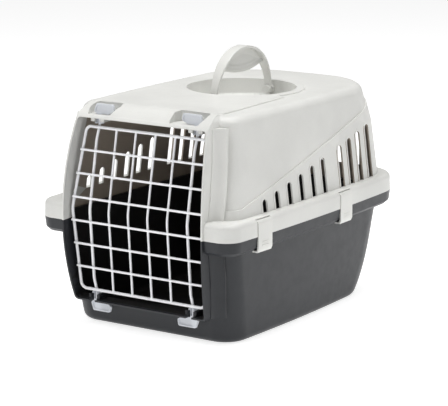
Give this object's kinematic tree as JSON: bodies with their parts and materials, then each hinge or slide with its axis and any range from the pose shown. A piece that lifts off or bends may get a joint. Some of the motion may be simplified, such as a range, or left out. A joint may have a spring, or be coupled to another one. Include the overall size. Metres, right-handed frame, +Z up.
{
  "type": "pet transport carrier",
  "caption": "Two-part moulded plastic pet carrier with a hinged wire grille door, vented sides, latching side clips and a folding carrying handle in a roof well.",
  "frame": {"origin": "centre of the footprint on the surface the tub stands on", "axes": "+Z up, -Y out of the door side, +X to the right seen from the door side"},
  "size_m": [0.3372, 0.4691, 0.371],
  "materials": {
    "hood_plastic": "light warm grey moulded plastic with a fine satin grain",
    "tub_plastic": "dark grey moulded plastic with a fine satin grain",
    "coated_wire": "steel wire with a smooth white powder coat",
    "catch_plastic": "pale blue-grey moulded plastic",
    "fitting_plastic": "light grey moulded plastic, slightly smoother than the hood"
  },
  "bodies": {
    "shells": {"base_shell": "tub_plastic", "top_shell": "hood_plastic"},
    "door": {"door_frame": "coated_wire", "door_pintle_left": "coated_wire", "door_pintle_right": "coated_wire", "door_upright_1": "coated_wire", "door_upright_2": "coated_wire", "door_upright_3": "coated_wire", "door_upright_4": "coated_wire", "door_cross_wire_1": "coated_wire", "door_cross_wire_2": "coated_wire", "door_cross_wire_3": "coated_wire", "door_cross_wire_4": "coated_wire", "door_cross_wire_5": "coated_wire", "door_cross_wire_6": "coated_wire"},
    "handle": {"carrying_handle": "fitting_plastic"},
    "catch_top_left": {"catch_top_left": "catch_plastic"},
    "catch_bottom_left": {"catch_bottom_left": "catch_plastic"},
    "side_clip_front_left": {"side_clip_front_left": "fitting_plastic"},
    "side_clip_rear_left": {"side_clip_rear_left": "fitting_plastic"},
    "catch_top_right": {"catch_top_right": "catch_plastic"},
    "catch_bottom_right": {"catch_bottom_right": "catch_plastic"},
    "side_clip_front_right": {"side_clip_front_right": "fitting_plastic"},
    "side_clip_rear_right": {"side_clip_rear_right": "fitting_plastic"}
  },
  "joints": [
    {"name": "door_swing", "type": "hinge", "parent": "shells", "child": "door", "pos_m": [-0.0809, -0.19801, 0.165], "axis": [0, 0.0461, 0.9989], "range_deg": [-100, 0]},
    {"name": "catch_top_left_turn", "type": "hinge", "parent": "shells", "child": "catch_top_left", "pos_m": [-0.0809, -0.1922, 0.291], "axis": [0, 0.0461, 0.9989], "range_deg": [-90, 0]},
    {"name": "catch_bottom_left_turn", "type": "hinge", "parent": "shells", "child": "catch_bottom_left", "pos_m": [-0.0809, -0.20364, 0.043], "axis": [0, 0.0461, 0.9989], "range_deg": [-90, 0]},
    {"name": "side_clip_front_left_flip", "type": "hinge", "parent": "shells", "child": "side_clip_front_left", "pos_m": [-0.16055, -0.15585, 0.1716], "axis": [-0.0407, 0.9992, 0], "range_deg": [0, 80]},
    {"name": "side_clip_rear_left_flip", "type": "hinge", "parent": "shells", "child": "side_clip_rear_left", "pos_m": [-0.16331, 0.05295, 0.1716], "axis": [0.0143, 0.9999, 0], "range_deg": [0, 80]},
    {"name": "catch_top_right_turn", "type": "hinge", "parent": "shells", "child": "catch_top_right", "pos_m": [0.0809, -0.1922, 0.291], "axis": [0, 0.0461, 0.9989], "range_deg": [0, 90]},
    {"name": "catch_bottom_right_turn", "type": "hinge", "parent": "shells", "child": "catch_bottom_right", "pos_m": [0.0809, -0.20364, 0.043], "axis": [0, 0.0461, 0.9989], "range_deg": [0, 90]},
    {"name": "side_clip_front_right_flip", "type": "hinge", "parent": "shells", "child": "side_clip_front_right", "pos_m": [0.16055, -0.15585, 0.1716], "axis": [-0.0407, -0.9992, 0], "range_deg": [0, 80]},
    {"name": "side_clip_rear_right_flip", "type": "hinge", "parent": "shells", "child": "side_clip_rear_right", "pos_m": [0.16331, 0.05295, 0.1716], "axis": [0.0143, -0.9999, 0], "range_deg": [0, 80]},
    {"name": "handle_fold", "type": "hinge", "parent": "shells", "child": "handle", "pos_m": [0, 0.038, 0.299], "axis": [0, 1, 0], "range_deg": [-90, 90]}
  ]
}
